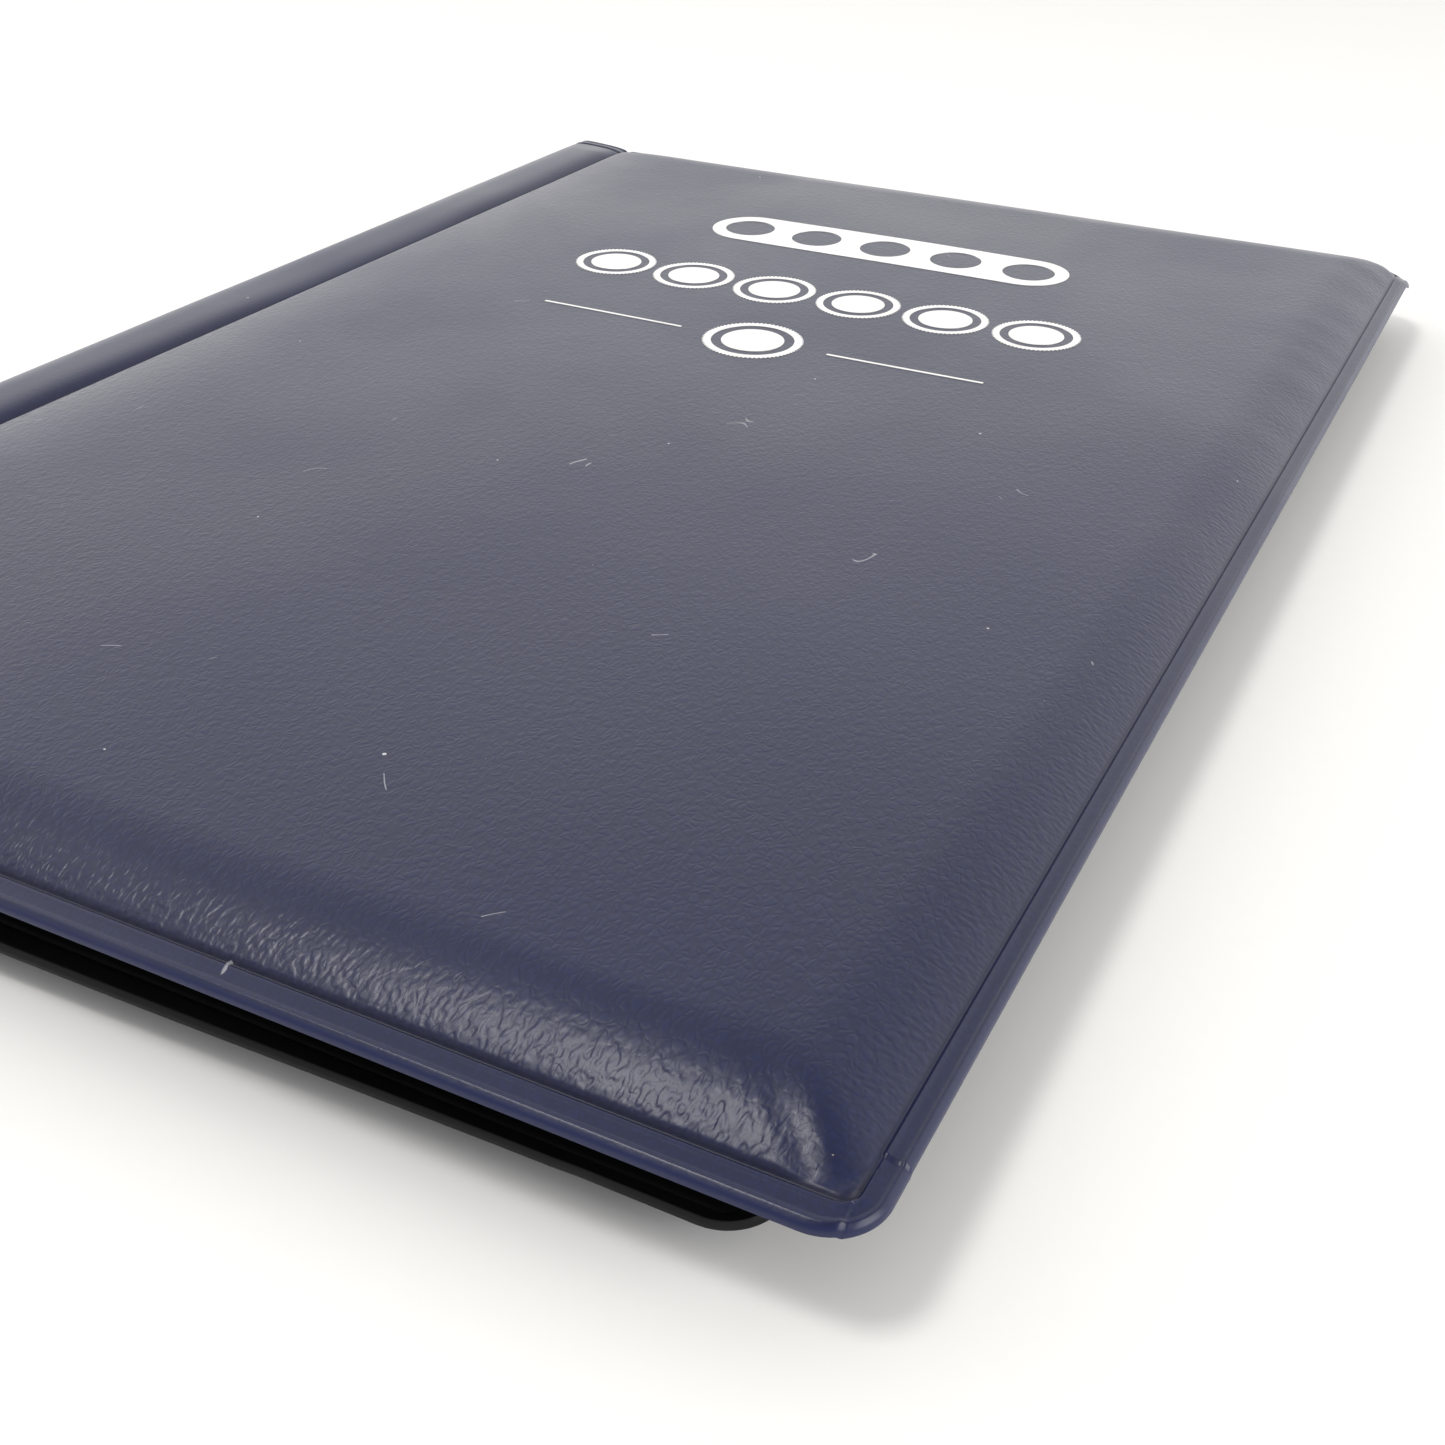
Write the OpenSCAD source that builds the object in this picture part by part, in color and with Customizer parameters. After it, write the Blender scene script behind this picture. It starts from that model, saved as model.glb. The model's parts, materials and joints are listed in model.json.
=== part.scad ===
// Padded coin album with a soft rolled spine and pocket leaves, shown closed and lying on its back.
// Origin: middle of the face that it rests on. +X runs from the spine to the fore edge,
// +Y from the tail to the head, +Z up through the leaves to the front cover. Millimetres.

/* [Covers] */
// Height of a cover from tail to head
cover_h = 195; // [150:1:240]
// Width of a cover from the edge of the spine to the fore edge
cover_w = 134; // [115:1:170]
// Radius of the cover's two fore corners
corner_r = 4; // [3:0.5:8]
// Width of the flat welded rim at the tail and head
rim_w = 3.1; // [2.5:0.1:5]
// Width of the flat welded rim along the fore edge
fore_rim_w = 2; // [1.5:0.1:5]
// How far the padding stands above the rim
pad_rise = 2.5; // [2:0.1:3.5]
// Width over which the padding slopes down to the rim
pad_shoulder = 7; // [5:0.5:12]
// Thickness of the grained vinyl skin
skin_t = 0.5; // [0.4:0.05:0.6]
// Thickness of the black lining sheet
lining_t = 0.3; // [0.2:0.05:0.4]
// Thickness of the stiff board
board_t = 1.2; // [0.8:0.1:1.4]

/* [Spine] */
// Width of the unpadded spine strip between the weld groove and the edge of the spine
strip_w = 9.3; // [8:0.1:12]
// How far the spine strip bulges above the rim
strip_rise = 1.5; // [1:0.1:2]
// Distance from the edge of the spine to the line where the strip bends into the wall
bend_x = 0.8; // [0.6:0.1:1.2]
// How far the front cover lies towards the fore edge of the back cover
lean = 7; // [4:0.5:8]
// Thickness of the strip that the leaves are welded to
binding_t = 0.4; // [0.3:0.05:0.5]

/* [Leaves] */
// Number of pocket leaves
leaf_count = 10; // [6:1:12]
// Distance from one leaf to the next when the album is closed
leaf_pitch = 0.39; // [0.38:0.01:0.45]
// Thickness of one film; a leaf is two films
film_t = 0.15; // [0.1:0.01:0.16]
// Width of a leaf from its bend line to its fore edge
leaf_w = 120; // [95:1:122]
// Distance from the tail or head of a cover to the edge of a leaf
leaf_inset = 7; // [5:0.5:12]
// Width of plain film between the bend line and the first pocket
leaf_margin = 9; // [7:0.5:15]
// Rows of pockets on a leaf
pocket_rows = 4; // [3:1:5]

/* [Foil stamp] */
// Thickness of the silver foil
foil_t = 0.06; // [0.04:0.01:0.1]
// Middle of the stamped design, measured from the edge of the spine
foil_x = 70; // [55:1:80]
// Number of plain coin shapes in the middle row
coin_count = 6; // [4:1:6]
// Diameter of one coin shape
coin_d = 10.6; // [8:0.1:11]

/* [Hidden] */
$fn = 48;
stack_clear = 0.05;
joint_gap = 0.35;
wall_start = 0.7;
leaf_start = 2;
pocket_gap = 1;
shoulder_steps = 6;
album_t = 2 * (pad_rise + skin_t + lining_t + stack_clear) + leaf_count * leaf_pitch;
rim_top = album_t - pad_rise;
lining_z = rim_top - skin_t - lining_t;
stack_z = pad_rise + skin_t + lining_t + stack_clear;
pad_x = strip_w + 1;
pad_w = cover_w - fore_rim_w - pad_x;
pad_h = cover_h - 2 * rim_w;

// The spine strip is an arc in cross-section; the wall is the straight stretch between two bend lines.
arc_half = strip_w / 2 + 0.25;
arc_r = (pow(arc_half, 2) + pow(strip_rise, 2)) / (2 * strip_rise);
arc_x = strip_w - arc_half;
arc_z = rim_top + strip_rise - arc_r;
bend_front = [bend_x, arc_z + sqrt(pow(arc_r - skin_t / 2, 2) - pow(arc_x - bend_x, 2))];
bend_back = [bend_x - lean, album_t - bend_front[1]];
wall_a = atan2(bend_front[1] - bend_back[1], lean);
wall_l = norm(bend_front - bend_back);
inner_p = skin_t / 2 + lining_t + binding_t;

// Leaf k counts from 1 under the front cover. Its bend line lies on the inner face of the binding strip.
function leaf_z(k) = stack_z + (leaf_count - k + 0.5) * leaf_pitch;
function leaf_t(k) = (leaf_z(k) - bend_back[1] + (inner_p + 0.1) * cos(wall_a)) / sin(wall_a);
function leaf_x(k) = bend_back[0] + leaf_t(k) * cos(wall_a) + (inner_p + 0.1) * sin(wall_a);
function leaf_name(k, part) = str("leaf_", k < 10 ? "0" : "", k, "_", part);

low_x = bend_back[0] + wall_start * cos(wall_a) - skin_t / 2 * sin(wall_a);
mid_x = (low_x + cover_w) / 2;

COVER_PARTS = ["skin", "foam", "board", "lining"];

// ---- Placing ----

// From album coordinates (spine edge and tail at zero) to the part's own frame
module in_frame() {
    translate([-mid_x, -cover_h / 2, 0]) children();
}

// The back cover is the front cover turned face down and moved back by the lean of the spine
module as_back() {
    translate([-lean, 0, album_t]) mirror([0, 0, 1]) children();
}

// Along the spine wall: X from its lower to its upper bend line, +Z out of the album
module on_wall() {
    translate([bend_back[0], 0, bend_back[1]]) rotate([0, -wall_a, 0]) children();
}

// ---- Covers ----

// Flat sheet with its two fore corners rounded
module cover_sheet(x, inset, z, t) {
    r = corner_r - min(inset, corner_r - 1);
    right = cover_w - inset;
    translate([x, inset, z]) cube([right - r - x, cover_h - 2 * inset, t]);
    translate([right - r - 0.01, inset + r, z]) cube([r + 0.01, cover_h - 2 * (inset + r), t]);
    for (y = [inset + r, cover_h - inset - r]) translate([right - r, y, z]) cylinder(h = t, r = r);
}

// Outline of a padded cross-section: a quarter ellipse at each end and flat between
function pad_outline(w) = concat(
    [for (i = [0 : shoulder_steps])
        let (a = 90 * i / shoulder_steps) [pad_shoulder * (1 - cos(a)), pad_rise * sin(a)]],
    [for (i = [shoulder_steps : -1 : 0])
        let (a = 90 * i / shoulder_steps) [w - pad_shoulder * (1 - cos(a)), pad_rise * sin(a)]]
);

// Solid under the padding, its shoulders sloping on all four sides
module pad_block(inset, z) {
    w = pad_w - 2 * inset;
    h = pad_h - 2 * inset;
    translate([pad_x + inset, rim_w + inset, z]) intersection() {
        translate([0, h, 0]) rotate([90, 0, 0]) linear_extrude(h) polygon(pad_outline(w));
        rotate([90, 0, 90]) linear_extrude(w) polygon(pad_outline(h));
    }
}

module cover_skin() {
    color("#3a3f5c") difference() {
        union() {
            cover_sheet(strip_w + joint_gap, 0, rim_top - skin_t, skin_t);
            pad_block(0, rim_top);
        }
        pad_block(skin_t, rim_top - skin_t);
    }
}

module cover_foam() {
    color("#d9d6cf") difference() {
        pad_block(skin_t + 0.05, rim_top - skin_t - 0.05);
        translate([0, 0, lining_z - 1]) cube([cover_w, cover_h, 1 + lining_t + board_t]);
    }
}

module cover_board() {
    color("#a39a88") translate([pad_x + 2, rim_w + 2, lining_z + lining_t])
        cube([pad_w - 4, pad_h - 4, board_t]);
}

module cover_lining() {
    color("#141416") cover_sheet(strip_w + joint_gap, 0.4, lining_z, lining_t);
}

// ---- Spine ----

// Arched sheet of the spine strip between two radii, from x0 to x1
module strip_arc(r_in, r_out, x0, x1) {
    translate([0, cover_h, 0]) rotate([90, 0, 0]) linear_extrude(cover_h) intersection() {
        translate([arc_x, arc_z]) difference() {
            circle(r = r_out, $fn = 96);
            circle(r = r_in, $fn = 96);
        }
        translate([x0, arc_z]) square([x1 - x0, arc_r + 1]);
    }
}

module strip_skin() {
    color("#454b6a") strip_arc(arc_r - skin_t, arc_r, bend_x + 0.45, strip_w - joint_gap);
}

module strip_lining() {
    color("#141416")
        strip_arc(arc_r - skin_t - lining_t, arc_r - skin_t, bend_x + 1.4, strip_w - joint_gap);
}

// Layer of the spine wall: p0 and p1 are depths in from the middle of the skin
module wall_layer(t0, t1, p0, p1, inset) {
    on_wall() translate([t0, inset, -p1]) cube([t1 - t0, cover_h - 2 * inset, p1 - p0]);
}

module spine_wall_skin() {
    color("#3a3f5c") wall_layer(wall_start, wall_l - wall_start, -skin_t / 2, skin_t / 2, 0);
}

module spine_wall_lining() {
    color("#141416") wall_layer(1.4, wall_l - 1, skin_t / 2, skin_t / 2 + lining_t, 0.4);
}

module leaf_binding_strip() {
    color("#26262a")
        wall_layer(leaf_t(leaf_count) - 0.8, leaf_t(1) + 0.4, skin_t / 2 + lining_t, inner_p, leaf_inset);
}

// ---- Leaves ----

module leaf_back_film(k) {
    color("#1a1a1d") translate([leaf_x(k) + leaf_start, leaf_inset, leaf_z(k) - film_t])
        cube([leaf_w - leaf_start, cover_h - 2 * leaf_inset, film_t]);
}

// One strip of film per row, open along its head edge where the coins go in
module leaf_pocket_film(k) {
    row_h = (cover_h - 2 * leaf_inset) / pocket_rows;
    color("#f2f4f7", 0.6) for (row = [0 : pocket_rows - 1])
        translate([leaf_x(k) + leaf_margin, leaf_inset + row * row_h, leaf_z(k)])
            cube([leaf_w - leaf_margin, row_h - pocket_gap, film_t]);
}

// ---- Foil stamp ----

module foil_bar(x, y, w, h) {
    translate([x - w / 2, y - h / 2, 0]) cube([w, h, foil_t]);
}

module foil_ring(x, y, d, band) {
    translate([x, y, 0]) difference() {
        cylinder(h = foil_t, d = d);
        translate([0, 0, -1]) cylinder(h = foil_t + 2, d = d - 2 * band);
    }
}

// Plain coin: a rim, a gap and a solid middle
module foil_coin(x, y, d) {
    foil_ring(x, y, d, d * 0.09);
    translate([x, y, 0]) cylinder(h = foil_t, d = d * 0.62);
}

// Plaque with round ends and a row of round windows
module foil_plaque(y, w, h, windows) {
    r = h / 2;
    translate([0, y, 0]) difference() {
        union() {
            translate([-(w / 2 - r), -r, 0]) cube([w - h, h, foil_t]);
            for (s = [-1, 1]) translate([s * (w / 2 - r), 0, 0]) cylinder(h = foil_t, r = r);
        }
        for (i = [0 : windows - 1]) translate([(i - (windows - 1) / 2) * h * 0.92, 0, -1])
            cylinder(h = foil_t + 2, d = h * 0.62);
    }
}

module foil_stamp() {
    rule_y = cover_h * 0.6;
    row_y = cover_h * 0.692;
    plaque_y = cover_h * 0.808;
    pitch = 69 / 6;
    color("#e4e6e8") translate([foil_x, 0, album_t]) {
        foil_plaque(plaque_y, 51, 11, 5);
        for (i = [0 : coin_count - 1]) foil_coin((i - (coin_count - 1) / 2) * pitch, row_y, coin_d);
        for (s = [-1, 1]) foil_bar(s * 19, rule_y, 19, 0.7);
        foil_coin(0, rule_y, 12);
    }
}

// ---- Nodes ----

in_frame() as_back() cover_skin();  // back_cover_skin
in_frame() as_back() cover_foam();  // back_cover_foam
in_frame() as_back() cover_board();  // back_cover_board
in_frame() as_back() cover_lining();  // back_cover_lining
in_frame() as_back() strip_skin();  // back_spine_strip
in_frame() as_back() strip_lining();  // back_strip_lining
in_frame() spine_wall_skin();
in_frame() spine_wall_lining();
in_frame() leaf_binding_strip();
in_frame() strip_skin();  // front_spine_strip
in_frame() strip_lining();  // front_strip_lining
in_frame() cover_skin();  // front_cover_skin
in_frame() cover_foam();  // front_cover_foam
in_frame() cover_board();  // front_cover_board
in_frame() cover_lining();  // front_cover_lining
in_frame() foil_stamp();  // front_foil_stamp
for (k = [1 : leaf_count]) {
    in_frame() leaf_back_film(k);
    in_frame() leaf_pocket_film(k);
}
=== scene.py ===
"""Finish of a padded coin album: welded vinyl covers, a soft spine, pocket leaves and a foil stamp.

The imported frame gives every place; the property groups below give the sizes of the finish.
"""
import json
import math

import bpy
import numpy as np
from bpy.props import FloatProperty, FloatVectorProperty, IntProperty, PointerProperty
from mathutils import Matrix, Vector

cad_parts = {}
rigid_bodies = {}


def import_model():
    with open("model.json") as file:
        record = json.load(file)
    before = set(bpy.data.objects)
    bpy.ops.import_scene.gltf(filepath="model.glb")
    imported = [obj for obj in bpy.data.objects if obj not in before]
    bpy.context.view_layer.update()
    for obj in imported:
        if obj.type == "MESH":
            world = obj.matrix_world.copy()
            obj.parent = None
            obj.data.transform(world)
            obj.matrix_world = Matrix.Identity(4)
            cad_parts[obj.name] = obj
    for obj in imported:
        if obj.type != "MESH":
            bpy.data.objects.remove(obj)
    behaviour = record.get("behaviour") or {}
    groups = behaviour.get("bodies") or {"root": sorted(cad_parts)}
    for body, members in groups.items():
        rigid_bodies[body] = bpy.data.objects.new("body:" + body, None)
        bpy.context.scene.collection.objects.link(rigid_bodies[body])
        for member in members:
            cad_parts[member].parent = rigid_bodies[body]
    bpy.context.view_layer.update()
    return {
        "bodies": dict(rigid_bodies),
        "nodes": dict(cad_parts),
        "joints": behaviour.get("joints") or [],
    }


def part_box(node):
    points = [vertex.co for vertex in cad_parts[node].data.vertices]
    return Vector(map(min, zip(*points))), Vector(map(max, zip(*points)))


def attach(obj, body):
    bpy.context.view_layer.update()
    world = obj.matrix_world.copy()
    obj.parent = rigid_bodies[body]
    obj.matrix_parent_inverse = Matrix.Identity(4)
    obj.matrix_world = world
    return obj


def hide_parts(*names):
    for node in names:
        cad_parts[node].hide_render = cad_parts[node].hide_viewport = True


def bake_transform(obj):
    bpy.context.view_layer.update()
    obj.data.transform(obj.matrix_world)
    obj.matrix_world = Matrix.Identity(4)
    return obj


bl_info = {
    "name": "Padded coin album",
    "version": (1, 0, 0),
    "blender": (4, 5, 0),
    "location": "View3D > Sidebar > Coin album",
    "description": "Builds the finished pieces of a padded coin album around its packed frame",
    "category": "Object",
}

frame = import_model()
JOINTS = {joint["name"]: joint for joint in frame["joints"]}
LEAVES = sorted(body for body in frame["bodies"] if body.startswith("leaf_"))
MM = 0.001


# ---- Settings ----


def length(name, description, default):
    """A size, given in millimetres and kept in metres."""
    return FloatProperty(name=name, description=description, default=default * MM, unit="LENGTH", precision=5)


def colour(name, description, default):
    """A linear colour."""
    return FloatVectorProperty(name=name, description=description, default=default, subtype="COLOR",
                               min=0, max=1)


def number(name, description, default):
    """A plain number."""
    return FloatProperty(name=name, description=description, default=default)


class CoverSettings(bpy.types.PropertyGroup):
    """Sizes of the padded covers and their welded rim"""

    skin: length("Skin", "Thickness of the grained vinyl skin", 0.5)
    lining: length("Lining", "Thickness of the black lining", 0.3)
    rim: length("Rim", "Width of the flat welded rim at tail and head", 3.1)
    fore_rim: length("Fore rim", "Width of the flat welded rim along the fore edge", 2.0)
    trim: length("Trim", "How far the tail edge of the front cover is trimmed back", 0.45)
    back_trim: length("Back trim", "The same for the back cover, at its fore corner", 2.0)
    least_trim: length("Least trim", "The same for the back cover, towards the spine", 0.9)
    corner: length("Corner", "Radius of the two fore corners", 4.0)
    inner_corner: length("Inner corner", "Smallest radius of the lines inside the rim", 1.0)
    shoulder: length("Shoulder", "Width over which the padding slopes down to the rim", 8.5)
    spine_shoulder: length("Spine shoulder", "Width of the steeper slope beside the spine", 3.0)
    bead: length("Bead", "Height of the raised bead along the edge", 0.14)
    bead_inset: length("Bead inset", "Distance from the edge to the middle of the bead", 0.72)
    weld: length("Weld", "Depth of the weld line between rim and padding", 0.3)
    roll: length("Edge roll", "Radius of the rolled outer edge", 0.5)
    droop: length("Corner droop", "How far the far fore corner droops", 2.0)
    wrap: length("Wrap", "How far the black lining is turned over the back cover's edge", 0.6)
    waves: length("Waves", "Height of the soft waves in the padding", 0.1)


class SpineSettings(bpy.types.PropertyGroup):
    """Sizes of the soft spine"""

    strip: length("Strip", "Width of the unpadded strip beside the weld groove", 9.3)
    rise: length("Rise", "How far the strip bulges above the rim", 1.2)
    wall_bulge: length("Wall bulge", "How far the hidden wall bulges out", 0.5)
    fold: length("Fold", "Softness of the two folds", 0.45)
    binding: length("Binding", "Thickness of the strip that holds the leaves", 0.4)


class LeafSettings(bpy.types.PropertyGroup):
    """Sizes of the pocket leaves"""

    columns: IntProperty(name="Columns", description="Pockets across a leaf", default=3, min=1, max=6)
    rows: IntProperty(name="Rows", description="Pockets up a leaf", default=4, min=1, max=6)
    notch: length("Thumb notch", "Radius of the thumb notch in each pocket's mouth", 6.5)
    seam: length("Seam", "Width of a welded seam", 1.2)
    bulge: length("Bulge", "How far an empty pocket stands off its backing", 0.05)


class FoilSettings(bpy.types.PropertyGroup):
    """Sizes of the stamped design"""

    coins: IntProperty(name="Coins", description="Plain coins in the middle row", default=6, min=1, max=6)
    lift: length("Lift", "Thickness of the foil", 0.05)


class ColourSettings(bpy.types.PropertyGroup):
    """Colours of the finishes"""

    vinyl: colour("Vinyl", "Navy skin of the covers", (0.004, 0.008, 0.050))
    edge: colour("Edge", "Bluer skin where it is pressed or rolled", (0.005, 0.009, 0.060))
    lining: colour("Lining", "Black lining", (0.004, 0.004, 0.005))
    film: colour("Film", "Clear pocket film", (0.62, 0.64, 0.68))
    foil: colour("Foil", "Silver foil", (0.90, 0.89, 0.87))
    dust: colour("Dust", "Lint and dust", (0.62, 0.63, 0.66))
    foam: colour("Foam", "Foam sheet", (0.70, 0.67, 0.58))
    board: colour("Board", "Grey pulp board", (0.36, 0.33, 0.27))


class StageSettings(bpy.types.PropertyGroup):
    """Camera, lights and floor"""

    eye: FloatVectorProperty(name="Eye", description="Camera position", default=(0.0908, -0.1572, 0.0806),
                             subtype="TRANSLATION", unit="LENGTH", precision=4)
    forward: FloatVectorProperty(name="Forward", description="Direction that the camera looks in",
                                 default=(-0.3773, 0.7581, -0.5319), subtype="DIRECTION")
    up: FloatVectorProperty(name="Up", description="Up direction of the picture",
                            default=(-0.2526, 0.4683, 0.8467), subtype="DIRECTION")
    lens: number("Lens", "Focal length in millimetres", 43.18)
    sky: number("Sky", "Strength of the surround behind the album", 1.3)
    front: number("Front", "Strength of the surround on the camera's side", 0.6)
    key: number("Key", "Power of the soft light overhead, in watts", 2.2)
    left: number("Left", "Power of the broad light low on the left, in watts", 3.0)
    right: number("Right", "Power of the broad light on the right, in watts", 5.0)
    zenith: number("Zenith", "Share of the surround left straight above", 0.5)
    floor: colour("Floor", "Plain pale floor", (0.93, 0.925, 0.915))


SETTINGS = {
    "album_cover": CoverSettings,
    "album_spine": SpineSettings,
    "album_leaf": LeafSettings,
    "album_foil": FoilSettings,
    "album_colours": ColourSettings,
    "album_stage": StageSettings,
}


# ---- Mesh helpers ----


def new_mesh(name, verts, faces, material, smooth_angle, masks=None):
    """A mesh, smooth below an angle, with named masks that its material reads: one value for each point."""
    mesh = bpy.data.meshes.new(name)
    mesh.from_pydata([tuple(p) for p in verts], [], [tuple(f) for f in faces])
    mesh.validate()
    mesh.update()
    mesh.shade_smooth()
    mesh.set_sharp_from_angle(angle=math.radians(smooth_angle))
    mesh.materials.append(material)
    for key, values in (masks or {}).items():
        mesh.attributes.new(key, "FLOAT", "POINT").data.foreach_set("value", values)
    return mesh


def new_object(name, verts, faces, material, smooth_angle=50, masks=None):
    """An object in the row frame; its masks are given for the upper grid of a sheet and hold for both."""
    both = {key: on_both_faces(values) for key, values in (masks or {}).items()}
    obj = bpy.data.objects.new(name, new_mesh(name, verts, faces, material, smooth_angle, both))
    bpy.context.scene.collection.objects.link(obj)
    return obj


def on_both_faces(values):
    """A mask of one grid, repeated for the other grid of a sheet."""
    return np.tile(np.ravel(values), 2)


def grid_faces(rows, columns, offset=0, flip=False):
    """Quads of a grid of points that is stored row by row."""
    faces = []
    for i in range(rows - 1):
        for j in range(columns - 1):
            a = offset + i * columns + j
            quad = (a, a + 1, a + columns + 1, a + columns)
            faces.append(quad[::-1] if flip else quad)
    return faces


def shell(top, bottom):
    """Points and faces of a closed sheet between two grids of the same shape, given as (rows, columns, 3)."""
    rows, columns = top.shape[:2]
    count = rows * columns
    faces = grid_faces(rows, columns) + grid_faces(rows, columns, count, flip=True)
    edge = list(range(columns))
    edge += [i * columns + columns - 1 for i in range(1, rows)]
    edge += [(rows - 1) * columns + j for j in range(columns - 2, -1, -1)]
    edge += [i * columns for i in range(rows - 2, 0, -1)]
    for a, b in zip(edge, edge[1:] + edge[:1]):
        faces.append((b, a, a + count, b + count))
    return np.concatenate([top.reshape(-1, 3), bottom.reshape(-1, 3)]), faces


def stretches(*parts):
    """Sorted places from (start, end, steps) stretches, without doubles."""
    places = np.concatenate([np.linspace(a, b, n + 1) for a, b, n in parts])
    return np.unique(np.round(places, 6))


def bell(x, middle, width):
    """Smooth bump of height 1."""
    return np.exp(-(((x - middle) / width) ** 2))


def smooth_step(x, low, high):
    """0 below low, 1 above high, and a smooth rise between."""
    t = np.clip((x - low) / (high - low), 0, 1)
    return t * t * (3 - 2 * t)


def soft_waves(x, y, seed, wavelength, count=7):
    """Even, repeatable waves between about -1 and 1."""
    rng = np.random.default_rng(seed)
    total = np.zeros(np.broadcast(x, y).shape)
    for _ in range(count):
        turn, phase = rng.uniform(0, 2 * math.pi, 2)
        size = wavelength * rng.uniform(0.7, 1.6)
        total = total + np.sin((x * math.cos(turn) + y * math.sin(turn)) * 2 * math.pi / size + phase)
    return total / count ** 0.5 / 1.4


# ---- Shape of a cover ----


class CoverShape:
    """Heights and outline of a cover, seen face up; the back cover is the same shape face down."""

    LINES_END = 13 * MM  # where the mesh lines that follow the edges end
    PANEL_LINES = (56, 92)  # mesh lines across and up the panel inside them
    BAR_END = 7 * MM  # how far up from the tail the deeper weld of the fore edge reaches
    GROOVE = 0.22 * MM  # depth of the weld groove beside the spine
    WELD_WIDTH = 0.24 * MM  # half width of the weld line

    def __init__(self):
        self.cover = bpy.context.scene.album_cover
        low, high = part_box("front_cover_skin")
        self.groove = JOINTS["front_groove_hinge"]["pos_m"][0]
        self.web = self.groove + 0.15 * MM
        self.fore, self.tail, self.head = high.x, low.y, high.y
        self.rim_top = low.z + self.cover.skin
        self.rise = high.z - self.rim_top
        self.weld_line = self.cover.rim - 0.12 * MM
        self.total = high.z
        self.lean = high.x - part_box("back_cover_skin")[1].x

    def insets(self):
        """Places of the mesh lines in from an edge: closer on the bead, the weld line and the bar's end."""
        bead_end = 1.3 * MM
        weld_start, weld_end = self.cover.rim - 0.6 * MM, self.cover.rim + 0.5 * MM
        bar_start, bar_end = self.BAR_END - 0.3 * MM, self.BAR_END + 0.3 * MM
        return stretches((0, bead_end, 14), (bead_end, weld_start, 4), (weld_start, weld_end, 11),
                         (weld_end, bar_start, 8), (bar_start, bar_end, 5), (bar_end, self.LINES_END, 9))

    def grid(self, side, inset=0.0, left=None):
        """Grid of the cover's points with its rings rounded at the fore corners.

        Returns X, Y and the ring that each point lies on, as a distance in from the tail or head edge."""
        rings = self.insets()
        rings = rings[rings >= inset]
        rings[0] = inset
        left = self.web if left is None else left
        inner = rings[-1]
        tall = self.head - self.tail
        steep, gentle = 3 * MM, 11 * MM
        start = stretches((0, steep, 14), (steep, gentle, 8)) + left
        width = self.fore - self._across(inner) - start[-1]
        steps, rises = (np.linspace(0, 1, count)[1:-1] for count in self.PANEL_LINES)
        away = np.concatenate([np.full(len(start) + len(steps), np.inf), rings[::-1]])
        xs = np.concatenate([start, start[-1] + width * steps, np.zeros(len(rings))])
        ups = np.concatenate([rings, inner + (tall - 2 * inner) * rises, tall - rings[::-1]])
        d_fore, d_tail = np.meshgrid(away, ups, indexing="ij")
        d_end = np.minimum(d_tail, tall - d_tail)
        by_tail = d_tail < tall / 2
        on_panel = np.isinf(d_fore)
        trim = np.where(by_tail, self.trim(side, np.where(on_panel, xs[:, None], self.fore)), 0.0)
        near = np.minimum(d_fore, d_end)
        fore, end = self._round_corners(d_fore, d_end, near, trim)
        x = np.where(on_panel, xs[:, None], self.fore - fore)
        y = np.where(by_tail, self.tail + end, self.head - end)
        return x, y, near

    def _across(self, ring):
        """Distance in from the fore edge, where the rim is narrower, of a ring."""
        c = self.cover
        return np.where(ring < c.rim, ring * c.fore_rim / c.rim, ring - c.rim + c.fore_rim)

    def _in_from_end(self, ring, trim):
        """Distance in from the tail or head edge of a ring, with the edge trimmed back."""
        return ring + trim * np.clip(1 - ring / self.cover.rim, 0, 1)

    def trim(self, side, x):
        """How far the tail edge is cut back."""
        c = self.cover
        if side == "front":
            return c.trim + 0 * x
        grows_from, full_at = self.fore - 75 * MM, self.fore - 3 * MM
        share = smooth_step(x, grows_from, full_at)
        return c.least_trim + (c.back_trim - c.least_trim) * share ** 1.3

    def _round_corners(self, d_fore, d_end, ring, trim):
        """Bends each ring round the two fore corners; returns the real distances from both edges."""
        fore, end = self._across(d_fore), self._in_from_end(d_end, trim)
        own_fore, own_end = self._across(ring), self._in_from_end(ring, trim)
        radius = np.maximum(self.cover.corner - ring, self.cover.inner_corner)
        round_until, square_from = 7 * MM, 12.5 * MM
        radius = radius * (1 - smooth_step(ring, round_until, square_from))
        on_fore = d_fore <= d_end
        past = np.where(on_fore, end - own_end, fore - own_fore)
        nothing = 1e-9
        bent = (past < radius - nothing) & (radius > 1e-6)
        turn = np.where(bent, 1 - past / np.maximum(radius, nothing), 0) * math.pi / 4
        small, large = radius * (1 - np.cos(turn)), radius * (1 - np.sin(turn))
        return (np.where(bent, own_fore + np.where(on_fore, small, large), fore),
                np.where(bent, own_end + np.where(on_fore, large, small), end))

    def edge_height(self, d):
        """Height of the welded rim over its flat band, on a ring."""
        c = self.cover
        inside = np.clip(1 - d / c.roll, 0, 1)
        rolled = -0.9 * c.roll * (1 - np.sqrt(np.clip(1 - inside ** 2, 0, 1)))
        bead = c.bead * bell(d, c.bead_inset, 0.26 * MM)
        weld = -c.weld * bell(d, self.weld_line, self.WELD_WIDTH)
        lip = 0.08 * MM * bell(d, c.rim - 0.62 * MM, 0.2 * MM)
        tilt = -0.26 * MM * (1 - np.clip(d / c.rim, 0, 1)) ** 1.5
        return rolled + bead + weld + lip + tilt

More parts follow.
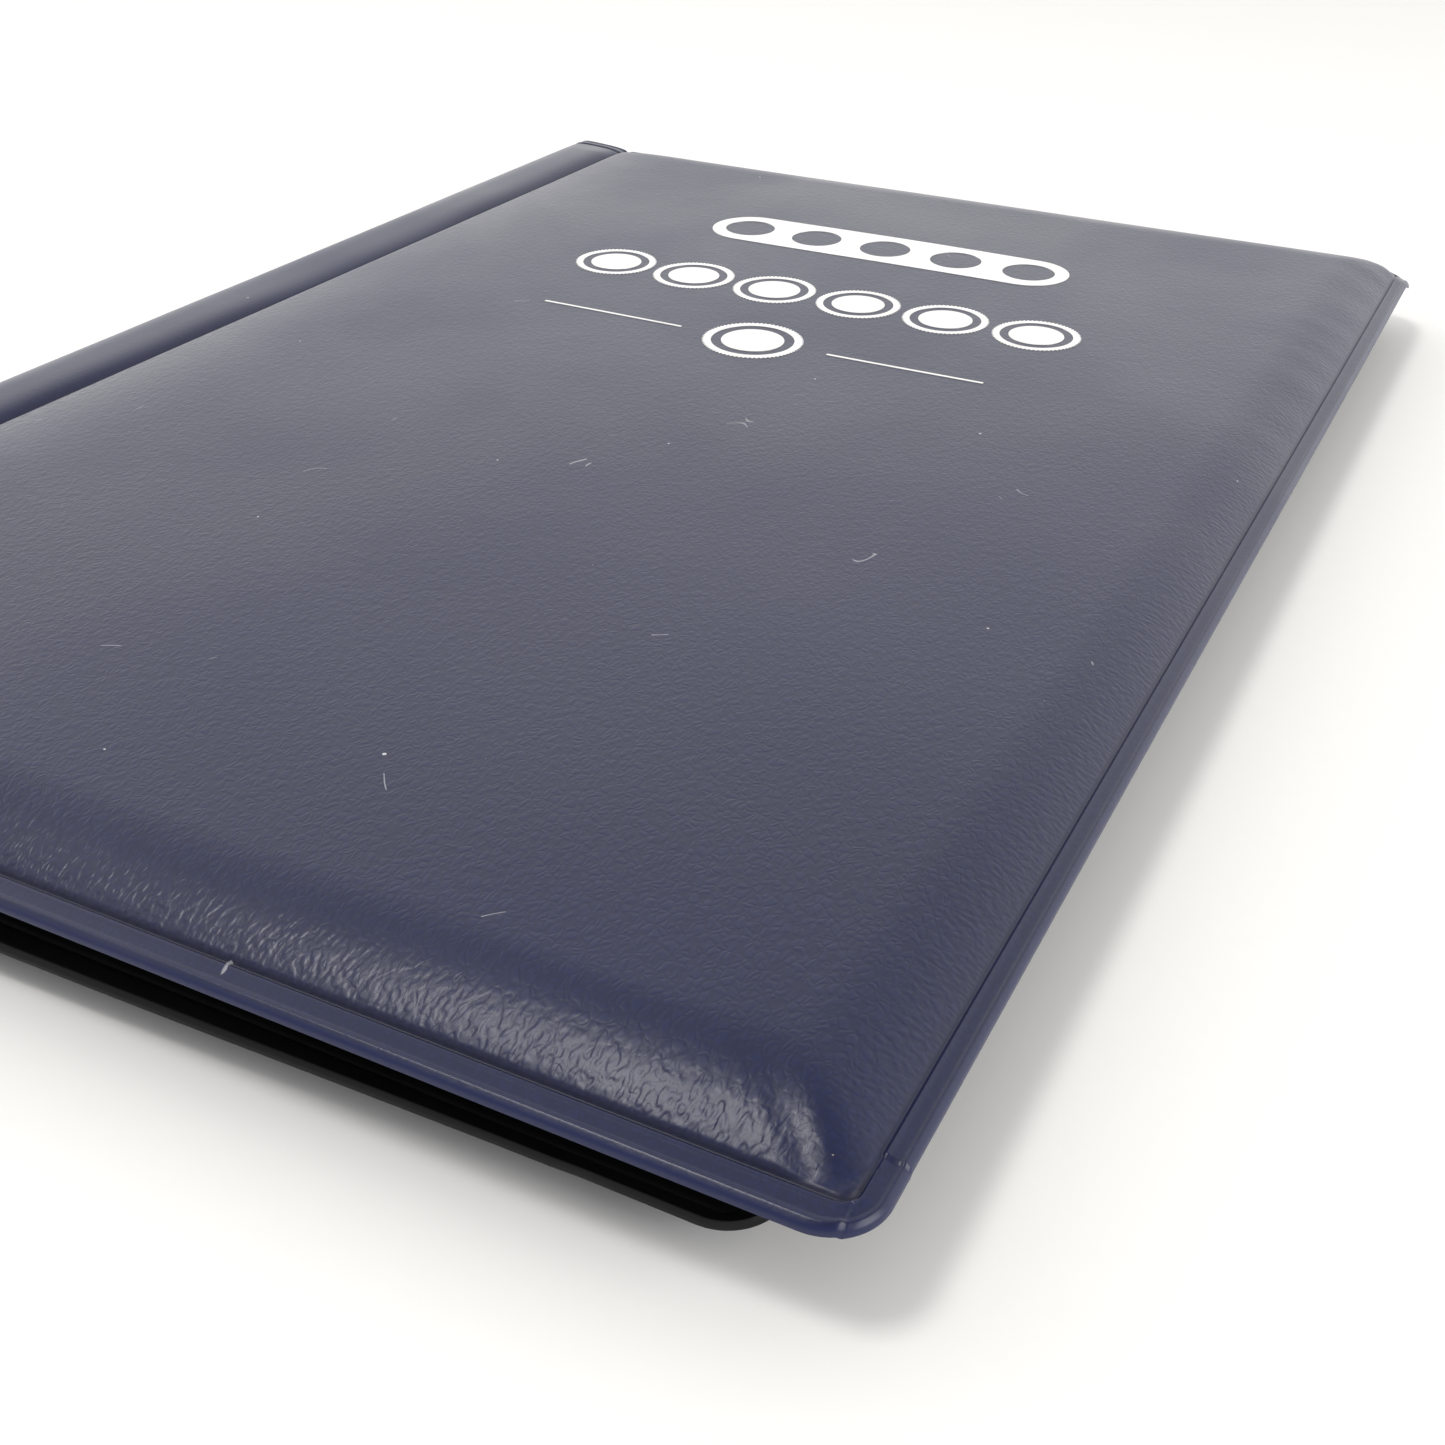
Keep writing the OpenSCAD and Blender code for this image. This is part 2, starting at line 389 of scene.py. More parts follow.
    def masks(self, near):
        """Where the skin is pressed at the weld line, a mask for painted shade there, or rolled, and how much
        of its grain is left, on each ring.
        """
        rim = self.cover.rim
        # this mask paints shade along the weld line into the vinyl's colour, and makes it a little rougher
        # there
        pressed = bell(near, self.weld_line, 0.3 * MM)
        rolled = 1 - smooth_step(near, 0.2 * MM, 0.6 * MM)
        grain = 0.3 + 0.7 * smooth_step(near, rim - 0.1 * MM, rim + 0.8 * MM)
        return {"pressed": pressed, "rolled": rolled, "grain": grain}

    def light_weld(self, x, y):
        """1 along the middle of the fore edge, where the weld is a shallow, lighter line, and 0 elsewhere."""
        from_end = np.minimum(y - self.tail, self.head - y)
        by_fore = smooth_step(x, self.fore - 3.4 * MM, self.fore - 2.4 * MM)
        return by_fore * smooth_step(from_end, 3.5 * MM, 8 * MM)

    def drawn(self, x, y, near):
        """How far the skin is drawn into wrinkles, on the shoulders of the padding."""
        share, rim = self.padding(x, y) / self.rise, self.cover.rim
        return (1 - smooth_step(share, 0.55, 0.99)) * smooth_step(near, rim - 0.1 * MM, rim + 0.3 * MM)

    def groove_depth(self, x):
        """Depth of the weld groove between padding and spine strip."""
        return self.GROOVE * bell(x, self.groove, 0.45 * MM)

    def sag(self, x, y):
        """How far the cover bends down along its fore edge and at the loose corner outside its board."""
        in_from_tip = (self.fore - x) + (self.head - y)
        flap, run, reach = 2.2 * MM, 6.8 * MM, 9 * MM
        droop = np.clip(1 - (in_from_tip - flap) / run, 0, 1) ** 1.5
        near_fore = np.clip(1 - (self.fore - x) / reach, 0, 1)
        wave = 0.14 * MM * np.sin((y - self.tail) / (31 * MM)) * near_fore
        return wave - self.cover.droop * droop

    @staticmethod
    def _drop(d, width, power=2.1):
        """1 at the weld line, 0 at the top of the shoulder."""
        return (1 - np.clip(d / width, 0, 1)) ** power

    def padding(self, x, y):
        """Height of the padding over the rim: four shoulders that flow together in the corners."""
        c = self.cover
        from_spine = x - self.groove - 0.2 * MM
        steep = self._drop(from_spine, c.spine_shoulder)
        gentle = self._drop(from_spine, 17 * MM, 2.3)
        drops = (0.5 * steep + 0.5 * gentle,
                 self._drop(self.fore - c.fore_rim - x, c.shoulder - 1 * MM),
                 self._drop(y - self.tail - c.rim, c.shoulder),
                 self._drop(self.head - c.rim - y, c.shoulder - 0.5 * MM))
        together = 2.4
        drop = sum(d ** together for d in drops) ** (1 / together)
        return self.rise * np.clip(1 - drop, 0, 1)

    def waves(self, x, y):
        """Soft unevenness of the foam, and small puckers and a crease where the skin is drawn to the weld."""
        c = self.cover
        share = np.clip(self.padding(x, y) / self.rise, 0, 1)
        slow = c.waves * (soft_waves(x, y, 3, 46 * MM) - 0.9) * share ** 2
        to_fore = self.fore - c.fore_rim - x
        up = y - self.tail
        ripple = 0.09 * MM * np.sin(up / (1.25 * MM) + 1.7 * np.sin(up / (6 * MM)))
        fading = np.exp(-to_fore / (3.2 * MM)) * smooth_step(up, 90 * MM, 130 * MM)
        across = ((self.fore - x) - up - 1.2 * MM) / math.sqrt(2)
        along = ((self.fore - x) + up) / math.sqrt(2) - 4.2 * MM
        running_out = smooth_step(along, 0, 2 * MM) * np.exp(-np.clip(along - 3 * MM, 0, 1) / (3.5 * MM))
        crease = -0.34 * MM * bell(across, 0, 0.9 * MM) * running_out
        return slow + ripple * fading * share ** 0.6 + crease * share ** 0.4

    def skin_top(self, x, y, near, lively=True):
        """Height of the outer face."""
        z = self.rim_top + self.edge_height(near) - self.groove_depth(x) + self.padding(x, y)
        filled = 0.8 * self.cover.weld * bell(near, self.weld_line, self.WELD_WIDTH)
        ridge = 0.1 * MM * bell(near, self.cover.rim - 0.7 * MM, 0.3 * MM)
        z = z + (filled + ridge) * self.light_weld(x, y)
        if lively:
            by_bar = 1 - smooth_step(y - self.tail, self.BAR_END, self.BAR_END + 0.15 * MM)
            fore_weld = self.fore - self.cover.fore_rim
            z = z + self.waves(x, y) + self.sag(x, y)
            z = z - 0.16 * MM * by_bar * smooth_step(x, fore_weld, fore_weld + 0.3 * MM)
        return np.minimum(z, self.total)

    def skin_under(self, x, y, z, near, lively=True):
        """Height of the inner face of the skin, which is thinner where it is rolled at the edge."""
        floor = self.rim_top - self.cover.skin + (self.sag(x, y) if lively else 0)
        thin = 0.18 * MM * np.clip(1 - near / (0.6 * MM), 0, 1) ** 2
        return np.minimum(np.maximum(z - self.cover.skin, floor + thin), z - 0.05 * MM)

    def face_down(self, points):
        """The same points on the back cover."""
        turned = points.copy()
        turned[..., 0] -= self.lean
        turned[..., 2] = self.total - turned[..., 2]
        return turned

    def sheet(self, side, x, y, upper, under):
        """Points and faces of a closed sheet of one cover, given by its heights face up."""
        top, bottom = stack(x, y, upper), stack(x, y, under)
        if side == "back":
            top, bottom = self.face_down(bottom), self.face_down(top)
        return shell(top, bottom)


def stack(*parts):
    """One array of points from their coordinates."""
    return np.stack(parts, axis=-1)


# ---- Shape of the spine ----


class SpineShape:
    """Cross-section of the soft spine, from the front weld groove round to the back one."""

    STEP = 0.1 * MM  # between points along the section
    ENDS = 8  # points at each end that keep their place
    WALL_POINTS = 96

    def __init__(self, cover):
        self.cover = cover
        spine = bpy.context.scene.album_spine
        skin = cover.cover.skin
        self.half = spine.strip / 2 + 0.25 * MM
        self.rise = spine.rise
        self.crest_x = cover.groove - self.half
        self.front_bend = self._point("spine_top_bend")
        self.back_bend = self._point("spine_roll")
        front = self._front(skin)
        section = zip(front, self._wall(spine.wall_bulge), self._back(front))
        self.base, self.bulge = (self._softened(np.concatenate(parts), spine.fold) for parts in section)

    @staticmethod
    def _point(joint):
        """Where a joint turns, seen along the spine."""
        place = JOINTS[joint]["pos_m"]
        return np.array([place[0], place[2]])

    def _front(self, skin):
        """Chord of the front strip and how far its flat-topped arc stands off it."""
        x = np.arange(self.cover.web, self.front_bend[0], -self.STEP)
        web = self.cover.rim_top - skin / 2 + 0 * x
        arc = web + self.rise * (1 - np.clip(np.abs(x - self.crest_x) / self.half, 0, 1) ** 3.5)
        web_start = self.cover.groove - 1.1 * MM
        on_web = smooth_step(x, web_start, self.cover.groove + 0.1 * MM)
        z = arc * (1 - on_web) + web * on_web
        chord = np.interp(x, [self.front_bend[0], web_start], [self.front_bend[1], web[-1]])
        chord = np.minimum(chord, z)
        return stack(x, chord), stack(np.zeros_like(x), z - chord)

    def _wall(self, bulge):
        """Line of the hidden wall and how far it bulges out."""
        run = self.back_bend - self.front_bend
        t = np.linspace(0, 1, self.WALL_POINTS)[:, None]
        out = np.array([run[1], -run[0]]) / np.linalg.norm(run)
        return self.front_bend + run * t, out * bulge * np.sin(math.pi * t)

    def _back(self, front):
        """The front strip turned face down."""
        base, off = front[0][::-1].copy(), front[1][::-1].copy()
        base[:, 0] -= self.cover.lean
        base[:, 1] = self.cover.total - base[:, 1]
        off[:, 1] *= -1
        return base, off

    def _softened(self, points, fold):
        """Rounds the folds: a running average along the section."""
        reach = 15
        away = np.arange(-reach, reach + 1) * self.STEP
        weights = np.exp(-(away / fold) ** 2 / 2)
        weights /= weights.sum()
        padded = np.concatenate([np.repeat(points[:1], reach, 0), points, np.repeat(points[-1:], reach, 0)])
        result = np.stack([np.convolve(padded[:, k], weights, "valid") for k in range(2)], axis=1)
        result[:self.ENDS], result[-self.ENDS:] = points[:self.ENDS], points[-self.ENDS:]
        return result

    def sheet(self, part, outer, inner, y_inset, edged):
        """Closed sheet between two depths of the section, counted outwards from the middle of the skin."""
        c = self.cover
        rings = c.insets()
        rings = rings[rings >= y_inset]
        rings[0] = y_inset
        middle = np.linspace(c.tail + rings[-1], c.head - rings[-1], 60)[1:-1]
        ys = np.concatenate([c.tail + rings, middle, c.head - rings[::-1]])
        near = np.minimum(ys - c.tail, c.head - ys)
        fullness = 0.3 + 0.6 * smooth_step(near, 0.5 * MM, 8 * MM)
        fullness = fullness - 0.3 * bell(ys, c.tail + 128 * MM, 24 * MM)
        fullness = fullness + 0.05 * soft_waves(ys, ys * 0, 11, 17 * MM) * smooth_step(near, 3 * MM, 9 * MM)
        base, bulge = self.base[part], self.bulge[part]
        line = base[:, None, :] + bulge[:, None, :] * fullness[None, :, None]
        run = np.gradient(line, axis=0)
        run /= np.linalg.norm(run, axis=2, keepdims=True)
        out = np.stack([run[..., 1], -run[..., 0]], axis=-1)
        on_front = line[..., 1] > c.total / 2
        groove = c.groove_depth(line[..., 0] + np.where(on_front, 0, c.lean))
        edge = (c.edge_height(near)[None, :] - groove)[..., None] if edged else 0
        over = line + out * (outer + edge)
        under = line + out * inner
        trim = np.where(on_front, c.trim("front", line[..., 0]), c.trim("back", line[..., 0]))
        y = ys[None, :] + trim * np.clip(1 - (ys[None, :] - c.tail) / c.cover.rim, 0, 1)
        masks = {key: np.broadcast_to(value[None, :], y.shape) for key, value in c.masks(near).items()}
        # the groove beside the spine also gets the painted shade of the weld lines
        masks["pressed"] = np.maximum(masks["pressed"], groove / c.GROOVE)
        masks["grain"] = masks["grain"] * 0.7
        return (*shell(stack(over[..., 0], y, over[..., 1]), stack(under[..., 0], y, under[..., 1])), masks)

    def parts(self):
        """Three stretches of the section: round the groove, round the upper fold, round the lower fold."""
        crest = int(np.argmin(np.abs(self.base[:200, 0] - self.crest_x)))
        half_way = (self.front_bend + self.back_bend) / 2
        middle = int(np.argmin(np.linalg.norm(self.base - half_way, axis=1)))
        ends = (0, crest, middle, len(self.base) - 1)
        return [np.array([*range(start, end, 2), end]) for start, end in zip(ends, ends[1:])]


def row_point(xz):
    """A point of the section in the row frame."""
    return (float(xz[0]), 0.0, float(xz[1]))


# ---- Shader groups ----


class Wiring:
    """Short forms for adding and linking nodes in one tree."""

    ROW = 9  # nodes side by side in the editor

    def __init__(self, tree):
        self.tree = tree

    def node(self, kind, values=None, **options):
        """A new node; a value is either a socket to link or a default."""
        count = len(self.tree.nodes)
        made = self.tree.nodes.new(kind)
        made.location = (180 * (count % self.ROW), -220 * (count // self.ROW))
        for key, value in options.items():
            setattr(made, key, value)
        self.feed(made, values or {})
        return made

    def feed(self, node, values):
        """Links or sets a node's inputs."""
        for key, value in values.items():
            if isinstance(value, bpy.types.NodeSocket):
                self.tree.links.new(value, node.inputs[key])
            else:
                node.inputs[key].default_value = value

    def maths(self, operation, a, b=0.0, clamp=False):
        """One sum."""
        return self.node("ShaderNodeMath", {0: a, 1: b}, operation=operation, use_clamp=clamp).outputs[0]

    def product(self, *factors):
        """All factors multiplied."""
        total = factors[0]
        for factor in factors[1:]:
            total = self.maths("MULTIPLY", total, factor)
        return total

    def total(self, *terms):
        """All terms added."""
        result = terms[0]
        for term in terms[1:]:
            result = self.maths("ADD", result, term)
        return result

    def between(self, value, low, high, to_low=0.0, to_high=1.0):
        """A smooth step of a value."""
        ends = {"From Min": low, "From Max": high, "To Min": to_low, "To Max": to_high}
        return self.node("ShaderNodeMapRange", {"Value": value, **ends},
                         interpolation_type="SMOOTHSTEP").outputs["Result"]

    def scaled(self, vector, factors):
        """A vector stretched along its axes."""
        return self.node("ShaderNodeVectorMath", {0: vector, 1: factors}, operation="MULTIPLY").outputs[0]

    def noise(self, vector, scale, detail=2.0, roughness=0.5, distortion=0.0):
        """Soft noise between 0 and 1."""
        values = {"Vector": vector, "Scale": scale, "Detail": detail, "Roughness": roughness,
                  "Distortion": distortion}
        return self.node("ShaderNodeTexNoise", values).outputs["Fac"]

    def mix(self, factor, a, b):
        """One colour over another."""
        return self.node("ShaderNodeMix", {0: factor, 6: a, 7: b}, data_type="RGBA").outputs[2]

    def mix_values(self, factor, a, b):
        """One value over another."""
        return self.node("ShaderNodeMix", {0: factor, 2: a, 3: b}, data_type="FLOAT").outputs[0]

    def stretched_place(self, start, size):
        """The place that a group is given, in units of its size and its stretch along X and Y."""
        scale = self.maths("DIVIDE", 1.0, start.outputs[size])
        factors = {"Z": scale}
        for axis in "XY":
            factors[axis] = self.maths("DIVIDE", scale, start.outputs["Stretch " + axis])
        return self.scaled(start.outputs["Vector"], self.node("ShaderNodeCombineXYZ", factors).outputs[0])


def new_group(name, inputs, outputs):
    """A shader node group that works from a place: its wiring, its input node and its output node."""
    group = bpy.data.node_groups.new(name, "ShaderNodeTree")
    group.interface.new_socket(name="Vector", in_out="INPUT", socket_type="NodeSocketVector")
    for socket, default in inputs.items():
        made = group.interface.new_socket(name=socket, in_out="INPUT", socket_type="NodeSocketFloat")
        made.default_value = default
    for socket in outputs:
        group.interface.new_socket(name=socket, in_out="OUTPUT", socket_type="NodeSocketFloat")
    w = Wiring(group)
    return w, w.node("NodeGroupInput"), w.node("NodeGroupOutput")


def leather_grain_group():
    """Fine leather grain: rounded cells between creases, drawn out along X and Y by their own amounts."""
    sizes = {"Cell size": 0.0009, "Stretch X": 1.0, "Stretch Y": 1.0}
    w, start, end = new_group("Leather grain", sizes, ("Height", "Crease"))
    place = w.stretched_place(start, "Cell size")
    wobble = w.node("ShaderNodeTexNoise", {"Vector": place, "Scale": 0.8, "Detail": 0.0})
    shift = w.scaled(wobble.outputs["Color"], (1.1, 1.1, 1.1))
    moved = w.node("ShaderNodeVectorMath", {0: place, 1: shift}, operation="ADD").outputs[0]
    cells = w.node("ShaderNodeTexVoronoi", {"Vector": moved, "Scale": 1.0}, feature="DISTANCE_TO_EDGE")
    crease = w.between(cells.outputs["Distance"], 0.0, 0.3, 1.0, 0.0)
    uneven = w.noise(place, 0.8, 1.0)
    height = w.total(w.product(crease, -0.45), w.product(uneven, 1.1))
    w.feed(end, {"Height": height, "Crease": crease})


def wrinkle_group():
    """Small rounded wrinkles of drawn skin: ridges side by side, each a little longer than it is wide."""
    sizes = {"Width": 0.00042, "Stretch X": 1.0, "Stretch Y": 1.0}
    w, start, end = new_group("Drawn wrinkles", sizes, ("Height",))
    place = w.stretched_place(start, "Width")
    w.feed(end, {"Height": w.between(w.noise(place, 1.0, 0.0), 0.3, 0.7)})


def dust_group():
    """Fine dust specks and short curled fibres: stretches of a contour line inside a few small discs."""
    w, start, end = new_group("Dust and lint", {"Specks": 0.5, "Fibres": 0.5}, ("Mask",))
    vector = start.outputs["Vector"]
    specks = w.node("ShaderNodeTexVoronoi", {"Vector": vector, "Scale": 330.0}, feature="F1")
    random = w.node("ShaderNodeSeparateColor", {"Color": specks.outputs["Color"]})
    near = w.maths("LESS_THAN", specks.outputs["Distance"], w.product(random.outputs[0], 0.06))
    rare = w.maths("GREATER_THAN", random.outputs[1], 0.86)
    speck = w.product(near, rare, start.outputs["Specks"])
    curls = w.maths("ABSOLUTE", w.maths("SUBTRACT", w.noise(vector, 210.0, 0.0), 0.5))
    thin = w.between(curls, 0.003, 0.009, 1.0, 0.0)
    patches = w.node("ShaderNodeTexVoronoi", {"Vector": vector, "Scale": 125.0}, feature="F1")
    chosen = w.node("ShaderNodeSeparateColor", {"Color": patches.outputs["Color"]})
    reach = w.product(w.maths("SUBTRACT", chosen.outputs[0], 0.62, clamp=True), 0.7)
    inside = w.maths("LESS_THAN", patches.outputs["Distance"], reach)
    fibre = w.product(thin, inside, start.outputs["Fibres"])
    w.feed(end, {"Mask": w.maths("ADD", speck, fibre, clamp=True)})


def wear_group():
    """Broad handling marks: patches where the surface is a little duller or shinier, and fine scuffs."""
    w, start, end = new_group("Handling wear", {"Size": 0.03}, ("Patches", "Scuffs"))
    scale = w.maths("DIVIDE", 1.0, start.outputs["Size"])
    patches = w.noise(start.outputs["Vector"], scale, 4.0, 0.6, 0.3)
    drawn = w.scaled(start.outputs["Vector"], (1.0, 0.16, 1.0))
    scuffs = w.between(w.noise(drawn, w.product(scale, 40.0), 3.0, 0.7), 0.6, 0.8)
    w.feed(end, {"Patches": patches, "Scuffs": scuffs})


GROUPS = {
    "Leather grain": leather_grain_group,
    "Drawn wrinkles": wrinkle_group,
    "Dust and lint": dust_group,
    "Handling wear": wear_group,
}


# ---- Materials ----


def shade(tint, brightness=1.0):
    """A colour with its alpha, made lighter or darker."""
    return (*(v * brightness for v in tint), 1.0)


class Finish(Wiring):
    """Wiring of one material round its Principled shader."""

    def __init__(self, name):
        self.material = bpy.data.materials.new(name)
        self.material.use_nodes = True
        super().__init__(self.material.node_tree)
        self.tree.nodes.clear()
        self.shader = self.node("ShaderNodeBsdfPrincipled")
        self.node("ShaderNodeOutputMaterial", {"Surface": self.shader.outputs["BSDF"]})
        self.place = self.node("ShaderNodeTexCoord").outputs["Object"]

    def surface(self, tone, roughness, height, distance, strength=1.0, **inputs):
        """Feeds the shader: colour, roughness, a bump in metres, and other inputs by name."""
        bump = self.node("ShaderNodeBump", {"Height": height, "Distance": distance, "Strength": strength})
        self.feed(self.shader, {"Base Color": tone, "Roughness": roughness, "Normal": bump.outputs["Normal"]})
        self.feed(self.shader, inputs)

    def group(self, name, **values):
        """The outputs of a shader node group with its own values, which are given with _ for a space."""
        if name not in bpy.data.node_groups:
            GROUPS[name]()
        made = self.node("ShaderNodeGroup", {"Vector": self.place}, node_tree=bpy.data.node_groups[name])
        self.feed(made, {key.replace("_", " "): value for key, value in values.items()})
        return made.outputs

    def mask(self, name):
        """A named mask of the mesh."""
        return self.node("ShaderNodeAttribute", attribute_name=name).outputs["Fac"]

    def patchy(self, wear, low, high):
        """A value that follows the handling marks."""
        return self.between(wear["Patches"], 0.3, 0.7, low, high)


def wrinkles(f):
    """Wrinkles drawn across the nearest edge: along Y in most places, along X by the fore edge."""
    upward = f.group("Drawn wrinkles", Stretch_Y=2.3)["Height"]
    across = f.group("Drawn wrinkles", Stretch_X=2.3)["Height"]
    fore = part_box("front_cover_skin")[1].x
    x = f.node("ShaderNodeSeparateXYZ", {"Vector": f.place}).outputs[0]
    return f.mix_values(f.between(x, fore - 0.009, fore - 0.005), upward, f.product(across, 0.6))


def vinyl(f, colours, grain=1.0, dust=0.8):
    """Grained navy vinyl: wrinkled where it is drawn, with painted shade in the grain's creases, along the
    weld lines and in the spine groove, and bluer where rolled.
    """
    leather = f.group("Leather grain", Cell_size=0.0006, Stretch_Y=1.5)
    lint = f.group("Dust and lint", Specks=dust, Fibres=dust * 0.5)["Mask"]
    wear = f.group("Handling wear", Size=0.035)
    pressed, drawn = f.mask("pressed"), f.mask("drawn")
    # colour of all painted shade on the vinyl: the navy made much darker
    painted_shade = shade(colours.vinyl, 0.4)
    tone = f.mix(wear["Patches"], shade(colours.vinyl, 0.8), shade(colours.vinyl, 1.2))
    # painted shade in the creases of the grain
    tone = f.mix(f.product(leather["Crease"], 0.35 * grain), tone, painted_shade)
    # painted shade: darker along the weld lines and in the groove beside the spine, where the pressed mask is
    tone = f.mix(f.product(pressed, 0.8), tone, painted_shade)
    tone = f.mix(f.mask("rolled"), tone, shade(colours.edge))
    tone = f.mix(lint, tone, shade(colours.dust))
    roughness = f.total(f.patchy(wear, 0.30, 0.37), f.product(lint, 0.4), f.product(pressed, 0.15))
    fine = f.product(leather["Height"], f.product(f.mask("grain"), 0.35 * grain))
    fine = f.product(fine, f.maths("SUBTRACT", 1.0, f.product(drawn, 0.5)))
    height = f.total(fine, f.product(wrinkles(f), f.product(drawn, 0.3)), f.product(lint, 0.3))
    f.surface(tone, roughness, height, 0.00007, IOR=1.5)


def lining(f, colours):
    """Smooth black vinyl with a little dust."""
    lint = f.group("Dust and lint", Specks=0.8, Fibres=0.3)["Mask"]
    wear = f.group("Handling wear", Size=0.02)
    tone = f.mix(wear["Patches"], shade(colours.lining, 0.8), shade(colours.lining, 1.3))
    tone = f.mix(f.product(lint, 0.5), tone, shade(colours.dust))
    fine = f.noise(f.place, 1500.0, 3.0, 0.6)
    f.surface(tone, f.patchy(wear, 0.44, 0.56), fine, 0.00003, 0.5, **{"Specular IOR Level": 0.25})


def foil(f, colours):
    """Silver foil pressed into the grain."""
    leather = f.group("Leather grain", Cell_size=0.00062, Stretch_Y=2.0)
    wear = f.group("Handling wear", Size=0.01)
    tone = f.mix(wear["Patches"], shade(colours.foil), shade(colours.foil, 0.9))
    f.surface(tone, f.patchy(wear, 0.28, 0.42), leather["Height"], 0.00004, 0.5, Metallic=0.75)


def black_film(f, colours):
    """Glossy black film of a leaf."""
    wear = f.group("Handling wear", Size=0.025)
    tone = f.mix(wear["Patches"], shade(colours.lining), shade(colours.lining, 2.2))
    f.surface(tone, f.patchy(wear, 0.3, 0.42), f.noise(f.place, 900.0), 0.00004, 0.4)


def clear_film(f, colours):
    """Clear soft film, a little milky, with scuffs from coins and duller welded seams."""
    wear = f.group("Handling wear", Size=0.02)
    seam = f.mask("seam")
    tone = f.mix(wear["Patches"], shade(colours.film), shade(colours.film, 1.1))
    alpha = f.total(f.patchy(wear, 0.10, 0.17), f.product(wear["Scuffs"], 0.10), f.product(seam, 0.22))
    roughness = f.total(f.patchy(wear, 0.10, 0.2), f.product(seam, 0.25))
    f.surface(tone, roughness, f.noise(f.place, 60.0, 3.0), 0.0006, 0.25, Alpha=alpha)


def foam(f, colours):
    """Open-cell foam sheet, with painted shade in the pits of its cells."""
    cells = f.node("ShaderNodeTexVoronoi", {"Vector": f.place, "Scale": 1400.0}).outputs["Distance"]
    # painted shade: darker in the pits at the cells' middles, where the bump is lowest
    tone = f.mix(cells, shade(colours.foam, 0.6), shade(colours.foam))
    f.surface(tone, f.between(cells, 0.0, 0.8, 0.8, 0.95), cells, 0.0003, 0.8)


def board(f, colours):
    """Grey pulp board with flecks."""
    flecks = f.noise(f.place, 700.0, 5.0, 0.7)
    tone = f.mix(flecks, shade(colours.board, 0.7), shade(colours.board, 1.2))
    f.surface(tone, f.between(flecks, 0.3, 0.7, 0.8, 0.92), flecks, 0.0001, 0.5)


FINISHES = {
    "Grained cover vinyl": vinyl,
    "Smooth spine vinyl": lambda f, colours: vinyl(f, colours, grain=0.5, dust=0.5),
    "Smooth lining vinyl": lining,
    "Stamped foil": foil,
    "Black leaf film": black_film,
    "Clear pocket film": clear_film,
    "Foam sheet": foam,
    "Pulp board": board,
}


def finish(name):
    """The material of a finish, wired up the first time that it is asked for."""
    if name not in bpy.data.materials:
        FINISHES[name](Finish(name), bpy.context.scene.album_colours)
    return bpy.data.materials[name]


# ---- Pieces ----


def settle(obj, body, slot, *nodes):
    """Rides on a body and stands for CAD nodes; the slot that it is given is not used."""
    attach(obj, body)
    if nodes:
        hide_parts(*nodes)
    return obj


class ALBUM_OT_cover_skins(bpy.types.Operator):
    """Builds the grained, padded skins of both covers"""

    bl_idname = "album.cover_skins"
    bl_label = "Cover skins"
    bl_options = {"REGISTER", "UNDO"}

    def execute(self, context):
        shape = CoverShape()
        for side in ("front", "back"):
            lively = side == "front"
            x, y, near = shape.grid(side, inset=0 if lively else shape.cover.wrap)
            z = shape.skin_top(x, y, near, lively)
            sheet = shape.sheet(side, x, y, z, shape.skin_under(x, y, z, near, lively))
            masks = shape.masks(near)
            # along the middle of the fore edge most of the painted shade of the weld line is left out
            masks["pressed"] = masks["pressed"] * (1 - 0.9 * shape.light_weld(x, y))
            masks["drawn"] = shape.drawn(x, y, near)
            obj = new_object(side + "_skin", *sheet, finish("Grained cover vinyl"), 60, masks)
            settle(obj, side + "_cover", "cover_vinyl", side + "_cover_skin")
        return {"FINISHED"}


class ALBUM_OT_cover_cores(bpy.types.Operator):
    """Builds the foam sheets and gives the boards their finish"""

    bl_idname = "album.cover_cores"
    bl_label = "Foam and boards"
    bl_options = {"REGISTER", "UNDO"}

    def execute(self, context):
        shape = CoverShape()
        board_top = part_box("front_cover_board")[1].z
        for side in ("front", "back"):
            lively = side == "front"
            x, y, near = shape.grid(side, inset=shape.cover.rim + 0.8 * MM, left=shape.groove + 1.0 * MM)
            z = shape.skin_top(x, y, near, lively)
            crown = shape.skin_under(x, y, z, near, lively) - 0.08 * MM
            sheet = shape.sheet(side, x, y, crown, np.minimum(board_top + 0.01 * MM, crown - 0.05 * MM))
            obj = new_object(side + "_foam", *sheet, finish("Foam sheet"))
            settle(obj, side + "_cover", "foam", side + "_cover_foam")
            board_mesh = frame["nodes"][side + "_cover_board"].data
            board_mesh.materials.clear()
            board_mesh.materials.append(finish("Pulp board"))
        return {"FINISHED"}


class ALBUM_OT_cover_linings(bpy.types.Operator):
    """Builds the black linings, which show the weld line from inside"""

    bl_idname = "album.cover_linings"
    bl_label = "Cover linings"
    bl_options = {"REGISTER", "UNDO"}

    def execute(self, context):
        shape = CoverShape()
        c = shape.cover
        level = shape.rim_top - c.skin
        for side in ("front", "back"):
            front = side == "front"
            x, y, near = shape.grid(side, inset=0.3 * MM if front else 0)
            turned_over = 0.36 * MM * np.clip(1 - near / c.wrap, 0, 1) ** 1.5
            sag = shape.sag(x, y) if front else turned_over
            pressed = 0.16 * MM * bell(near, shape.weld_line, 0.26 * MM)
            uneven = 0.02 * MM * soft_waves(x, y, 21, 20 * MM)
            inside = level - c.lining + pressed + uneven + sag
            sheet = shape.sheet(side, x, y, level + 0 * x + sag - 0.01 * MM, inside)
            obj = new_object(side + "_lining", *sheet, finish("Smooth lining vinyl"))
            settle(obj, side + "_cover", "black_lining", side + "_cover_lining")
        return {"FINISHED"}


